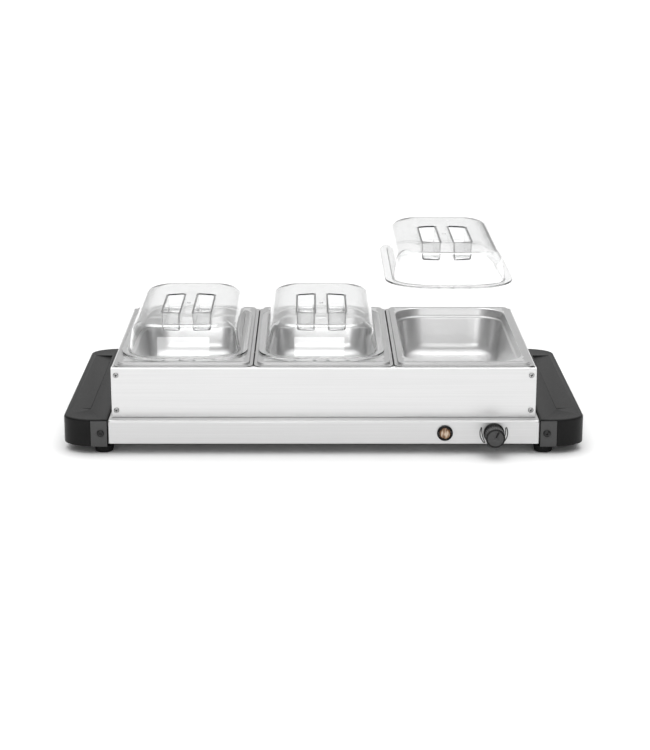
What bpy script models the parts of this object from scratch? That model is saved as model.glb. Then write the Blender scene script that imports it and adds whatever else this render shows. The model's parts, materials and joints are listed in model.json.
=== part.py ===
"""Electric buffet server: a heated base with two moulded end handles, a lift-off stainless frame,
three one-third size food pans and three clear lids with recessed grips.

Metres, +Z up, +X right, -Y towards the user. The origin is on the table under the middle of the base.
"""

import math

import bmesh
import bpy
from mathutils import Vector

# Driving dimensions, in metres.
GAP = 0.0003  # left between pieces that touch
SHEET = 0.0010  # sheet steel of the base and the frame

BASE_HALF_WIDTH = 0.2705
BASE_HALF_DEPTH = 0.1845
BASE_TOP = 0.0430
BASE_BOTTOM = 0.0133
BASE_EDGE_RADIUS = 0.0025

HANDLE_OUTER = 0.3280
HANDLE_INNER = BASE_HALF_WIDTH + GAP
HANDLE_TOP = 0.0445
HANDLE_BOTTOM = 0.0093
HANDLE_HALF_DEPTH = BASE_HALF_DEPTH
HANDLE_CORNER = (0.040, 0.028)  # the rounded corner's half axes along X and Y
HANDLE_WALL = 0.0030
HANDLE_ROOF = 0.0048
RECESS_INNER = 0.2975
RECESS_OUTER = 0.3200
RECESS_HALF_LENGTH = 0.1430
RECESS_DEPTH = 0.0026

BRACKET_X = (0.2715, 0.2920)
BRACKET_TOP = 0.0425
BRACKET_BOTTOM = 0.0090
BRACKET_SHEET = 0.0015
BRACKET_LEG = 0.0345
BRACKET_SCREW = (0.2797, 0.0265)  # x and z

FOOT_X = 0.2770
FOOT_Y = 0.1680
FOOT_RADIUS = 0.0125
FOOT_TOP = BRACKET_BOTTOM - GAP

FRAME_HALF_WIDTH = 0.2665
FRAME_HALF_DEPTH = 0.1680
FRAME_TOP = 0.1070
FRAME_BOTTOM = BASE_TOP + GAP
FRAME_FLANGE = 0.0110
FRAME_TAB = 0.0150
FRAME_SCREW_X = 0.2603
FRAME_SCREW_Z = (0.0522, 0.0975)

PAN_PITCH = 0.1767
PAN_SHEET = 0.0008
PAN_LIP = (0.0876, 0.1635, 0.0100)  # half width, half length, corner radius
PAN_FLANGE = (0.0833, 0.1588, 0.0090)
PAN_OPENING = (0.0745, 0.1483, 0.0360)
PAN_LIP_DROP = 0.0034
PAN_TOP = FRAME_TOP + GAP + PAN_LIP_DROP + PAN_SHEET

LID_RIM = (0.0810, 0.1520, 0.0540)
LID_WALL = 0.0020
LID_HEIGHT = 0.0410
LID_SEAT = PAN_TOP + GAP
POCKET_X = (0.0095, 0.0310)
POCKET_HALF_LENGTH = 0.0590
POCKET_END_RADIUS = 0.0750
POCKET_DEPTH = 0.0220
POCKET_DRAFT = 0.0010
TAB_X = (0.0235, 0.0435)
TAB_Y = (0.1440, 0.1458)
TAB_DROP = 0.0030
LID_OFFSETS = {  # each lid lies a little off the middle of its pan, and the right one is lifted off
    "left": (-0.0015, 0.0, 0.0),
    "centre": (-0.0025, 0.0, 0.0),
    "right": (-0.0175, 0.0, 0.0930),
}

KNOB_X = 0.2130
KNOB_Z = 0.0272
KNOB_RADIUS = 0.0122
KNOB_LENGTH = 0.0255
KNOB_POINTER_DEG = 25.0
LAMP_X = 0.1518
LAMP_RADIUS = 0.0100
GLAND_X = 0.2050
GLAND_Z = 0.0275
GLAND_BORE = 0.0037

ELEMENT_RADIUS = 0.00315
ELEMENT_Z = 0.0367
ELEMENT_PASSES = (-0.105, -0.035, 0.035, 0.105)
ELEMENT_LEFT = -0.205
ELEMENT_RIGHT = 0.185
ELEMENT_END = 0.2260
SPREADER_Z = (0.0402, 0.0417)
ELEMENT_TURN_INSET = 0.0350  # the right-hand turns stop this far short of ELEMENT_RIGHT
HEATER_X = (-0.235, 0.200)  # spreader and heat shield
SHIELD_Z = (0.0240, 0.0250)
CLAMP_HALF_WIDTH = 0.0060
CLAMP_X = {"left": -0.120, "right": 0.090}
LEAD_RADIUS = 0.0013
LEAD_Z = 0.0190
CUTOUT_PLACE = (0.2150, 0.0560)
EARTH_STUD_PLACE = (0.2540, 0.0850)
TERMINAL_X = (0.2220, 0.2520)
TERMINAL_Y = (0.1220, 0.1420)
TERMINAL_Z = (0.0152, 0.0300)
TERMINAL_PITCH = 0.0095

PAN_NAMES = ("left", "centre", "right")
FRONT_REAR = (("front", -1), ("rear", 1))
LEFT_RIGHT = (("left", -1), ("right", 1))


# Materials ---------------------------------------------------------------------------------------

def make_material(name, colour, roughness, metallic=0.0, alpha=1.0, transmission=0.0):
    material = bpy.data.materials.new(name)
    material.use_nodes = True
    shader = material.node_tree.nodes["Principled BSDF"]
    shader.inputs["Base Color"].default_value = (*colour, 1.0)
    shader.inputs["Roughness"].default_value = roughness
    shader.inputs["Metallic"].default_value = metallic
    shader.inputs["Alpha"].default_value = alpha
    shader.inputs["Transmission Weight"].default_value = transmission
    return material


def make_materials():
    return {
        "brushed_steel": make_material("brushed_steel", (0.72, 0.72, 0.72), 0.32, 1.0),
        "satin_steel": make_material("satin_steel", (0.66, 0.66, 0.66), 0.22, 1.0),
        "zinc_steel": make_material("zinc_steel", (0.55, 0.56, 0.57), 0.38, 1.0),
        "aluminium": make_material("aluminium", (0.78, 0.78, 0.79), 0.35, 1.0),
        "black_plastic": make_material("black_plastic", (0.045, 0.045, 0.047), 0.45),
        "grey_metal": make_material("grey_metal", (0.10, 0.10, 0.105), 0.42),
        "clear_plastic": make_material("clear_plastic", (0.95, 0.96, 0.97), 0.05, 0.0, 0.3, 1.0),
        "amber_lens": make_material("amber_lens", (0.80, 0.42, 0.16), 0.15),
        "rubber": make_material("rubber", (0.02, 0.02, 0.02), 0.75),
        "cream_phenolic": make_material("cream_phenolic", (0.86, 0.84, 0.79), 0.55),
        "wire": make_material("wire", (0.60, 0.14, 0.10), 0.40),
        "dark_steel": make_material("dark_steel", (0.07, 0.07, 0.07), 0.35, 1.0),
    }


# Outlines and solids -----------------------------------------------------------------------------

def rounded_rectangle(half_x, half_y, radius, steps=4):
    """Counter-clockwise outline with an arc of the given number of steps at each corner."""
    centres = ((1, 1), (-1, 1), (-1, -1), (1, -1))
    points = []
    for corner, (side_x, side_y) in enumerate(centres):
        for step in range(steps + 1):
            angle = math.radians(90.0 * (corner + step / steps))
            points.append((
                side_x * (half_x - radius) + radius * math.cos(angle),
                side_y * (half_y - radius) + radius * math.sin(angle),
            ))
    return points


def circle(radius, count):
    return [
        (radius * math.cos(math.tau * i / count), radius * math.sin(math.tau * i / count))
        for i in range(count)
    ]


def at_height(outline, z):
    return [(x, y, z) for x, y in outline]


def new_object(name, bm, material, parent=None):
    bmesh.ops.recalc_face_normals(bm, faces=bm.faces)
    mesh = bpy.data.meshes.new(name)
    bm.to_mesh(mesh)
    bm.free()
    mesh.shade_smooth()
    mesh.set_sharp_from_angle(angle=math.radians(35.0))
    obj = bpy.data.objects.new(name, mesh)
    bpy.context.scene.collection.objects.link(obj)
    if material is not None:
        mesh.materials.append(material)
    obj.parent = parent
    return obj


def loft(name, rings, material=None, parent=None):
    """A closed body through rings of equally many points, with the first and the last ring capped."""
    bm = bmesh.new()
    rows = [[bm.verts.new(point) for point in ring] for ring in rings]
    for lower, upper in zip(rows, rows[1:]):
        for i in range(len(lower)):
            j = (i + 1) % len(lower)
            bm.faces.new((lower[i], lower[j], upper[j], upper[i]))
    bm.faces.new(rows[0][::-1])
    bm.faces.new(rows[-1])
    return new_object(name, bm, material, parent)


def turned(name, profile, count, material=None, parent=None):
    """A body turned about Z from (radius, z) pairs, capped at both ends."""
    return loft(name, [at_height(circle(r, count), z) for r, z in profile], material, parent)


def loop_body(name, loops, material=None, parent=None):
    """A body through loops of equally many points whose last joins its first: a ring with a hole."""
    bm = bmesh.new()
    rows = [[bm.verts.new(point) for point in loop] for loop in loops]
    for lower, upper in zip(rows, rows[1:] + rows[:1]):
        for i in range(len(lower)):
            j = (i + 1) % len(lower)
            bm.faces.new((lower[i], lower[j], upper[j], upper[i]))
    return new_object(name, bm, material, parent)


def ring_body(name, profile, count, material=None, parent=None):
    """A ring turned about Z from a closed loop of (radius, z) pairs."""
    return loop_body(name, [at_height(circle(r, count), z) for r, z in profile], material, parent)


def hex_nut(name, bore, corner, height, material):
    """A six-sided nut on the plane z = 0: a round bore's radius and the radius to its corners."""
    flat = math.cos(math.radians(30.0))
    hexagon = [
        (x * scale, y * scale)
        for (x, y), scale in zip(circle(corner, 12), (1.0, flat) * 6)
    ]
    round_bore = circle(bore, 12)
    return loop_body(name, [
        at_height(round_bore, 0.0), at_height(hexagon, 0.0),
        at_height(hexagon, height), at_height(round_bore, height),
    ], material)


def box(name, x, y, z, material=None, parent=None):
    """A box from its low and high limits along each axis."""
    outline = [(x[0], y[0]), (x[1], y[0]), (x[1], y[1]), (x[0], y[1])]
    return loft(name, [at_height(outline, z[0]), at_height(outline, z[1])], material, parent)


def tube(name, route, radius, material, parent=None, sides=2, spacing=3.0):
    """A round tube along a smooth curve through the route's points, with closed ends."""
    points = smooth_line([Vector(p) for p in route], spacing * 2 * radius)
    curve = bpy.data.curves.new(name, "CURVE")
    curve.dimensions = "3D"
    curve.bevel_depth = radius
    curve.bevel_resolution = sides
    curve.use_fill_caps = True
    spline = curve.splines.new("POLY")
    spline.points.add(len(points) - 1)
    for target, point in zip(spline.points, points):
        target.co = (*point, 1.0)
    obj = bpy.data.objects.new(name, curve)
    bpy.context.scene.collection.objects.link(obj)
    curve.materials.append(material)
    obj.parent = parent
    return obj


def smooth_line(points, spacing):
    """Points about one spacing apart on a Catmull-Rom curve through the given ones."""
    padded = [2 * points[0] - points[1], *points, 2 * points[-1] - points[-2]]
    line = [points[0]]
    for before, start, end, after in zip(padded, padded[1:], padded[2:], padded[3:]):
        steps = max(1, round((end - start).length / spacing))
        for step in range(1, steps + 1):
            t = step / steps
            line.append(0.5 * (
                2 * start
                + (end - before) * t
                + (2 * before - 5 * start + 4 * end - after) * t ** 2
                + (3 * start - before - 3 * end + after) * t ** 3
            ))
    return line


def boolean(obj, helper, operation):
    """Cuts or joins the helper, which stays in the file as a hidden guide."""
    helper.hide_render = True
    helper.display_type = "WIRE"
    helper.parent = obj.parent
    modifier = obj.modifiers.new(f"{operation.lower()}_{helper.name}", "BOOLEAN")
    modifier.operation = operation
    modifier.object = helper


def cut(obj, helper):
    boolean(obj, helper, "DIFFERENCE")


def join(obj, helper):
    boolean(obj, helper, "UNION")


def rod_helper(name, radius, start, end, count=16):
    """A plain cylinder between two points, as a cutter or a boss."""
    start, end = Vector(start), Vector(end)
    rod = turned(name, [(radius, 0.0), (radius, (end - start).length)], count)
    rod.matrix_world = (end - start).to_track_quat("Z", "Y").to_matrix().to_4x4()
    rod.location = start
    return rod


def body_anchor(name, location, parent=None):
    """An empty that carries the pieces of one moving body, on that body's joint."""
    anchor = bpy.data.objects.new(name, None)
    bpy.context.scene.collection.objects.link(anchor)
    anchor.parent = parent
    anchor.location = location
    return anchor


def face_front(obj, x, y, z):
    """Turns a body made along +Z so that its +Z end points towards the user."""
    obj.rotation_euler = (math.radians(90.0), 0.0, 0.0)
    obj.location = (x, y, z)


def face_rear(obj, x, y, z):
    obj.rotation_euler = (math.radians(-90.0), 0.0, 0.0)
    obj.location = (x, y, z)


# Heated base -------------------------------------------------------------------------------------

def make_hot_plate(steel):
    """The pressed top with its four skirts: one shell, open underneath."""
    def outline(inset):
        return rounded_rectangle(
            BASE_HALF_WIDTH - inset, BASE_HALF_DEPTH - inset, BASE_EDGE_RADIUS - inset, 3
        )

    bend = BASE_EDGE_RADIUS
    rings = [
        at_height(outline(SHEET), BASE_TOP - SHEET),
        at_height(outline(SHEET), BASE_BOTTOM),
        at_height(outline(0.0), BASE_BOTTOM),
    ]
    for step in range(4):
        angle = math.radians(30.0 * step)
        inset = 0.95 * bend * (1 - math.cos(angle))
        rings.append(at_height(outline(inset), BASE_TOP - bend * (1 - math.sin(angle))))
    plate = loft("hot_plate", rings, steel)
    front = -BASE_HALF_DEPTH
    cut(plate, rod_helper("lamp_hole", 0.0068, (LAMP_X, front - 0.01, KNOB_Z),
                          (LAMP_X, front + 0.01, KNOB_Z)))
    cut(plate, rod_helper("spindle_hole", 0.0050, (KNOB_X, front - 0.01, KNOB_Z),
                          (KNOB_X, front + 0.01, KNOB_Z)))
    cut(plate, rod_helper("gland_hole", 0.0083, (GLAND_X, -front - 0.01, GLAND_Z),
                          (GLAND_X, -front + 0.01, GLAND_Z)))
    return plate


def make_bottom_plate(steel):
    """The closing plate inside the skirts, with two rows of vent slots."""
    inset = SHEET + GAP
    z = (BASE_BOTTOM + 0.0002, BASE_BOTTOM + 0.0012)
    outline = rounded_rectangle(BASE_HALF_WIDTH - inset, BASE_HALF_DEPTH - inset, 0.0010, 1)
    plate = loft("bottom_plate", [at_height(outline, level) for level in z], steel)
    for row in (-1, 1):
        for slot in range(5):
            x = -0.16 + 0.08 * slot
            y = row * 0.1630
            vent = rounded_rectangle(0.0200, 0.0025, 0.0020, 1)
            helper = loft(f"vent_{slot}_{row}", [
                [(x + px, y + py, z[0] - 0.01) for px, py in vent],
                [(x + px, y + py, z[1] + 0.01) for px, py in vent],
            ])
            cut(plate, helper)
    return plate


def handle_outline(side, inset):
    """The handle's plan: straight against the base, with elliptical outer corners."""
    half_x, half_y = (axis - inset for axis in HANDLE_CORNER)
    inner, outer = HANDLE_INNER + inset, HANDLE_OUTER - inset
    end = HANDLE_HALF_DEPTH - inset
    steps = 6
    corner = []
    for step in range(steps + 1):
        angle = math.radians(90.0 * step / steps)
        corner.append((outer - half_x * (1 - math.sin(angle)), end - half_y * (1 - math.cos(angle))))
    rear = [(inner, end), *corner]
    front = [(x, -y) for x, y in reversed(rear)]
    return [(side * x, y) for x, y in rear + front]


def make_handle(name, side, plastic):
    rings = [
        at_height(handle_outline(side, HANDLE_WALL), HANDLE_TOP - HANDLE_ROOF),
        at_height(handle_outline(side, HANDLE_WALL), HANDLE_BOTTOM),
        at_height(handle_outline(side, 0.0), HANDLE_BOTTOM),
        at_height(handle_outline(side, 0.0), HANDLE_TOP - 0.0018),
        at_height(handle_outline(side, 0.0006), HANDLE_TOP - 0.0005),
        at_height(handle_outline(side, 0.0020), HANDLE_TOP),
    ]
    handle = loft(f"{name}_handle", rings, plastic)
    cut(handle, recess_wedge(name, side))
    for end, toward in FRONT_REAR:
        label = f"{name}_{end}"
        x, y = side * FOOT_X, toward * FOOT_Y
        top = HANDLE_TOP - HANDLE_ROOF + 0.001
        join(handle, rod_helper(f"foot_boss_{label}", 0.0048, (x, y, 0.0111), (x, y, top), 12))
        screw_x, screw_z = side * BRACKET_SCREW[0], BRACKET_SCREW[1]
        wall = toward * (HANDLE_HALF_DEPTH - 0.0025)
        join(handle, rod_helper(f"bracket_boss_{label}", 0.0044, (screw_x, wall, screw_z),
                                (screw_x, toward * 0.1715, screw_z), 12))
        cut(handle, bracket_seat(label, side, toward))
        cut(handle, rod_helper(f"foot_bore_{label}", 0.0024, (x, y, 0.0), (x, y, 0.0260), 12))
        cut(handle, rod_helper(f"bracket_bore_{label}", 0.0023,
                               (screw_x, toward * 0.20, screw_z),
                               (screw_x, toward * 0.1735, screw_z), 12))
    return handle


def recess_wedge(name, side):
    """Cuts the thumb recess: deepest along its inner edge, running out towards the outer one."""
    low = HANDLE_TOP - RECESS_DEPTH
    high = HANDLE_TOP + 0.004
    rise = (high - HANDLE_TOP) / RECESS_DEPTH * (RECESS_OUTER - RECESS_INNER)
    section = [
        (side * RECESS_INNER, low),
        (side * (RECESS_OUTER + rise), high),
        (side * RECESS_INNER, high),
    ]
    return loft(f"recess_{name}", [
        [(x, y, z) for x, z in section] for y in (-RECESS_HALF_LENGTH, RECESS_HALF_LENGTH)
    ])


def bracket_seat(label, side, toward):
    """The step and the slot in the handle's end that take the bracket flush."""
    depth = HANDLE_HALF_DEPTH - BRACKET_SHEET - GAP
    leg = HANDLE_HALF_DEPTH - BRACKET_LEG - GAP
    low_x, high_x = BRACKET_X[0] - 0.01, BRACKET_X[1] + GAP
    section = [
        (toward * 0.20, 0.0),
        (toward * leg, 0.0),
        (toward * leg, BRACKET_BOTTOM + BRACKET_SHEET + GAP),
        (toward * depth, BRACKET_BOTTOM + BRACKET_SHEET + GAP),
        (toward * depth, BRACKET_TOP + GAP),
        (toward * 0.20, BRACKET_TOP + GAP),
    ]
    return loft(f"bracket_seat_{label}", [
        [(side * x, y, z) for y, z in section] for x in (low_x, high_x)
    ])


def make_bracket(name, side, end, toward, metal):
    """An L-shaped strap: its pad shows at the handle's end and its leg carries the foot."""
    outer = HANDLE_HALF_DEPTH
    section = [
        (toward * outer, BRACKET_BOTTOM),
        (toward * (outer - BRACKET_LEG), BRACKET_BOTTOM),
        (toward * (outer - BRACKET_LEG), BRACKET_BOTTOM + BRACKET_SHEET),
        (toward * (outer - BRACKET_SHEET), BRACKET_BOTTOM + BRACKET_SHEET),
        (toward * (outer - BRACKET_SHEET), BRACKET_TOP),
        (toward * outer, BRACKET_TOP),
    ]
    label = f"{name}_{end}"
    bracket = loft(f"{label}_bracket", [
        [(side * x, y, z) for y, z in section] for x in BRACKET_X
    ], metal)
    x, z = side * BRACKET_SCREW[0], BRACKET_SCREW[1]
    cut(bracket, rod_helper(f"pad_hole_{label}", 0.0024, (x, toward * 0.175, z),
                            (x, toward * 0.195, z), 12))
    x, y = side * FOOT_X, toward * FOOT_Y
    cut(bracket, rod_helper(f"leg_hole_{label}", 0.0024, (x, y, 0.0), (x, y, 0.02), 12))
    return bracket


def screw_profile(head_radius, head_height, shank_radius, length):
    """A domed head that stands on the plane z = 0, with its shank below."""
    return [
        (shank_radius * 0.6, -length),
        (shank_radius, -length + 0.001),
        (shank_radius, 0.0),
        (head_radius, 0.0),
        (head_radius * 0.96, head_height * 0.55),
        (head_radius * 0.62, head_height),
    ]


def place_screw(name, profile, material, front, x, y, z, parent=None):
    screw = turned(name, profile, 12, material, parent)
    turn = face_front if front else face_rear
    turn(screw, x, y, z)


def make_foot(label, x, y, rubber):
    """A tapered rubber foot with a push-in stem through the bracket's leg into the handle's boss."""
    foot = turned(f"{label}_foot", [
        (FOOT_RADIUS - 0.0022, 0.0),
        (FOOT_RADIUS - 0.0014, 0.0008),
        (FOOT_RADIUS, FOOT_TOP),
        (0.0021, FOOT_TOP),
        (0.0021, 0.0230),
        (0.0012, 0.0245),
    ], 16, rubber)
    foot.location = (x, y, 0.0)


def make_ends(material):
    """Handles, brackets, feet and their screws."""
    pad_screw = screw_profile(0.0046, 0.0018, 0.0020, 0.0105)
    for name, side in LEFT_RIGHT:
        make_handle(name, side, material["black_plastic"])
        for end, toward in FRONT_REAR:
            label = f"{name}_{end}"
            make_bracket(name, side, end, toward, material["grey_metal"])
            x, z = side * BRACKET_SCREW[0], BRACKET_SCREW[1]
            place_screw(f"{label}_bracket_screw", pad_screw, material["dark_steel"],
                        toward < 0, x, toward * (BASE_HALF_DEPTH + GAP), z)
            make_foot(label, side * FOOT_X, toward * FOOT_Y, material["rubber"])


# Controls and electrics --------------------------------------------------------------------------

def make_knob(material):
    """The knob turns on its spindle. Both hang from an anchor on the spindle's axis."""
    axis = body_anchor("knob_axis", (KNOB_X, -BASE_HALF_DEPTH, KNOB_Z))
    knob = turned("control_knob", [
        (0.0129, 0.0006),
        (0.0132, 0.0012),
        (0.0132, 0.0040),
        (0.0126, 0.0052),
        (KNOB_RADIUS, 0.0070),
        (KNOB_RADIUS - 0.0004, KNOB_LENGTH - 0.0010),
        (KNOB_RADIUS - 0.0012, KNOB_LENGTH),
    ], 28, material["black_plastic"], axis)
    knob.rotation_euler = (math.radians(90.0), 0.0, 0.0)
    pointer = box("pointer_groove", (-0.0008, 0.0008), (0.0035, 0.0095),
                  (KNOB_LENGTH - 0.0008, KNOB_LENGTH + 0.002))
    cut(knob, pointer)
    pointer.rotation_euler = (math.radians(90.0), math.radians(KNOB_POINTER_DEG), 0.0)
    bore = turned("spindle_socket", [(0.0034, -0.001), (0.0034, 0.0150)], 16)
    cut(knob, bore)
    bore.rotation_euler = (math.radians(90.0), 0.0, 0.0)
    spindle = turned("thermostat_spindle", [
        (0.0030, -0.0110),
        (0.0030, 0.0140),
        (0.0024, 0.0146),
    ], 16, material["zinc_steel"], axis)
    spindle.rotation_euler = (math.radians(90.0), 0.0, 0.0)


def make_thermostat(material):
    """The thermostat behind the front skirt, held by a nut on its threaded collar."""
    inside = -BASE_HALF_DEPTH + SHEET + GAP
    body = box("thermostat", (KNOB_X - 0.0150, KNOB_X + 0.0150),
               (inside + 0.0032, inside + 0.0240), (KNOB_Z - 0.0115, KNOB_Z + 0.0115),
               material["cream_phenolic"])
    collar = rod_helper("thermostat_collar", 0.0046, (KNOB_X, inside + 0.0045, KNOB_Z),
                        (KNOB_X, -BASE_HALF_DEPTH - 0.0003, KNOB_Z))
    join(body, collar)
    cut(body, rod_helper("collar_bore", 0.0033, (KNOB_X, inside + 0.0130, KNOB_Z),
                         (KNOB_X, -BASE_HALF_DEPTH - 0.005, KNOB_Z)))
    nut = hex_nut("thermostat_nut", 0.0051, 0.0088, 0.0022, material["zinc_steel"])
    face_rear(nut, KNOB_X, inside + 0.0003, KNOB_Z)


def make_lamp(material):
    """The indicator: a black bezel outside the skirt, an amber lens in it, a holder behind."""
    front = -BASE_HALF_DEPTH
    bezel = ring_body("lamp_bezel", [
        (0.0076, GAP),
        (LAMP_RADIUS, GAP),
        (LAMP_RADIUS, 0.0014),
        (LAMP_RADIUS - 0.0012, 0.0030),
        (0.0084, 0.0030),
        (0.0076, 0.0020),
    ], 24, material["black_plastic"])
    face_front(bezel, LAMP_X, front, KNOB_Z)
    lens = turned("lamp_lens", [
        (0.0071, GAP),
        (0.0071, 0.0022),
        (0.0058, 0.0038),
        (0.0032, 0.0046),
    ], 20, material["amber_lens"])
    face_front(lens, LAMP_X, front, KNOB_Z)
    holder = turned("lamp_holder", [
        (0.0030, -0.0260),
        (0.0030, -0.0215),
        (0.0062, -0.0210),
        (0.0062, -0.0001),
    ], 16, material["black_plastic"])
    face_front(holder, LAMP_X, front, KNOB_Z)


def make_gland(material):
    """The rear cable gland, empty, with its lock nut inside the skirt."""
    rear = BASE_HALF_DEPTH
    gland = ring_body("cable_gland", [
        (GLAND_BORE, -0.0110),
        (0.0078, -0.0110),
        (0.0078, GAP),
        (0.0105, GAP),
        (0.0105, 0.0060),
        (0.0098, 0.0075),
        (0.0098, 0.0160),
        (0.0078, 0.0215),
        (0.0058, 0.0255),
        (GLAND_BORE, 0.0255),
    ], 16, material["black_plastic"])
    face_rear(gland, GLAND_X, rear, GLAND_Z)
    nut = hex_nut("gland_nut", 0.0084, 0.0118, 0.0040, material["black_plastic"])
    face_front(nut, GLAND_X, rear - SHEET - GAP, GLAND_Z)
    nut.rotation_euler.y = math.radians(30.0)


def make_heater(material):
    """A serpentine tubular element clamped under an aluminium spreader, above a heat shield."""
    box("heat_spreader", HEATER_X, (-0.140, 0.140), SPREADER_Z, material["aluminium"])
    route = [(ELEMENT_END, ELEMENT_PASSES[0], ELEMENT_Z)]
    for index, (this_y, next_y) in enumerate(zip(ELEMENT_PASSES, ELEMENT_PASSES[1:])):
        turn_x = ELEMENT_LEFT if index % 2 == 0 else ELEMENT_RIGHT - ELEMENT_TURN_INSET
        route += bend_between(turn_x, this_y, next_y, -1 if index % 2 == 0 else 1)
    route.append((ELEMENT_END, ELEMENT_PASSES[-1], ELEMENT_Z))
    tube("heating_element", route, ELEMENT_RADIUS, material["dark_steel"], sides=1, spacing=5.0)
    strap_top = ELEMENT_Z - ELEMENT_RADIUS - GAP
    for label, x in CLAMP_X.items():
        box(f"{label}_element_clamp", (x - CLAMP_HALF_WIDTH, x + CLAMP_HALF_WIDTH), (-0.130, 0.130),
            (strap_top - 0.0015, strap_top), material["zinc_steel"])
    shield_y = (-0.148, 0.148)
    shield = box("heat_shield", HEATER_X, shield_y, SHIELD_Z, material["aluminium"])
    foot = BASE_BOTTOM + 0.0015
    for label, x in (("left", HEATER_X[0]), ("right", HEATER_X[1] - SHEET)):
        join(shield, box(f"shield_leg_{label}", (x, x + SHEET), shield_y, (foot, SHIELD_Z[0] + 0.0005)))


def bend_between(x, start_y, end_y, side):
    """Route points for one half turn of the element, bulging to the given side."""
    radius = (end_y - start_y) / 2
    middle = (start_y + end_y) / 2
    return [
        (x + side * radius * math.sin(angle), middle - radius * math.cos(angle), ELEMENT_Z)
        for angle in (math.pi * step / 6 for step in range(7))
    ]


def make_electrics(material):
    """Cut-out, terminal block, earth stud and the leads between them."""
    cutout = turned("thermal_cutout", [
        (0.0070, 0.0270), (0.0082, 0.0278), (0.0082, 0.0360), (0.0070, 0.0368),
    ], 16, material["cream_phenolic"])
    cutout.location = (*CUTOUT_PLACE, 0.0)
    block = box("terminal_block", TERMINAL_X, TERMINAL_Y, TERMINAL_Z, material["cream_phenolic"])
    middle_x, middle_y = sum(TERMINAL_X) / 2, sum(TERMINAL_Y) / 2
    for index in range(3):
        x = middle_x + TERMINAL_PITCH * (index - 1)
        cut(block, rod_helper(f"terminal_well_{index}", 0.0028, (x, middle_y, 0.0220),
                              (x, middle_y, 0.0400), 10))
    stud = turned("earth_stud", [
        (0.0055, 0.0149), (0.0055, 0.0180), (0.0025, 0.0182), (0.0025, 0.0240),
    ], 12, material["zinc_steel"])
    stud.location = (*EARTH_STUD_PLACE, 0.0)
    low = LEAD_Z
    leads = {
        "live_lead": [
            (0.2465, 0.1205, low), (0.2480, 0.1150, low), (0.2600, 0.1050, low),
            (0.2645, 0.0850, low), (0.2645, 0.0, low), (0.2635, -0.0700, low),
            (0.2500, -0.1300, low), (0.2240, -0.1520, low), (0.2230, -0.1575, low),
        ],
        "heater_lead": [
            (0.2150, -0.1575, low), (0.2160, -0.1520, low), (0.2280, -0.1380, 0.0260),
            (0.2380, -0.1200, 0.0350), (0.2330, -0.1055, ELEMENT_Z), (0.2275, -0.1050, ELEMENT_Z),
        ],
        "neutral_lead": [
            (0.2275, 0.1205, low), (0.2270, 0.1150, low), (0.2200, 0.0800, low),
            (0.2160, 0.0600, 0.0205), (0.2150, 0.0560, 0.0250),
        ],
        "cutout_lead": [
            (0.2245, 0.0560, 0.0320), (0.2300, 0.0580, 0.0325), (0.2380, 0.0800, 0.0350),
            (0.2330, 0.1045, ELEMENT_Z), (0.2275, 0.1050, ELEMENT_Z),
        ],
        "lamp_lead": [
            (0.2060, -0.1575, low), (0.2040, -0.1530, low), (0.1880, -0.1520, low),
            (0.1640, -0.1520, 0.0235), (0.1530, -0.1535, KNOB_Z), (0.1518, -0.1570, KNOB_Z),
        ],
        "earth_lead": [
            (0.2370, 0.1205, low), (0.2380, 0.1150, low), (0.2440, 0.1040, low),
            (0.2530, 0.0960, 0.0200), (0.2540, 0.0890, 0.0202),
        ],
    }
    for name, route in leads.items():
        tube(name, route, LEAD_RADIUS, material["wire"], sides=1, spacing=3.5)


# Lift-off frame ----------------------------------------------------------------------------------

def make_frame(material):
    """Four screwed panels, which lift off the hot plate together."""
    anchor = body_anchor("frame_lift", (0.0, 0.0, 0.0))
    steel = material["brushed_steel"]
    for end, toward in FRONT_REAR:
        make_long_panel(end, toward, steel, anchor)
    for name, side in LEFT_RIGHT:
        make_side_panel(name, side, steel, anchor)
    profile = screw_profile(0.0034, 0.0014, 0.0015, 0.0060)
    for name, side in LEFT_RIGHT:
        for end, toward in FRONT_REAR:
            for level, z in zip(("lower", "upper"), FRAME_SCREW_Z):
                place_screw(f"{name}_{end}_{level}_screw", profile, material["zinc_steel"],
                            toward < 0, side * FRAME_SCREW_X,
                            toward * (FRAME_HALF_DEPTH + GAP), z, anchor)
    return anchor


def along_y(toward, near, far):
    """Limits along Y of something between two distances from the middle, on one side."""
    return tuple(sorted((toward * near, toward * far)))


def make_long_panel(end, toward, steel, anchor):
    outer = FRAME_HALF_DEPTH
    panel = box(f"frame_{end}_panel", (-FRAME_HALF_WIDTH, FRAME_HALF_WIDTH),
                along_y(toward, outer - SHEET, outer), (FRAME_BOTTOM, FRAME_TOP), steel, anchor)
    flange_x = FRAME_HALF_WIDTH - 0.0090
    join(panel, box(f"top_flange_{end}", (-flange_x, flange_x),
                    along_y(toward, outer - FRAME_FLANGE, outer - SHEET / 2),
                    (FRAME_TOP - SHEET, FRAME_TOP)))
    for side in (-1, 1):
        for z in FRAME_SCREW_Z:
            x = side * FRAME_SCREW_X
            cut(panel, rod_helper(f"panel_hole_{end}_{side}_{round(z * 1e4)}", 0.0018,
                                  (x, toward * 0.160, z), (x, toward * 0.175, z), 12))


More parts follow.
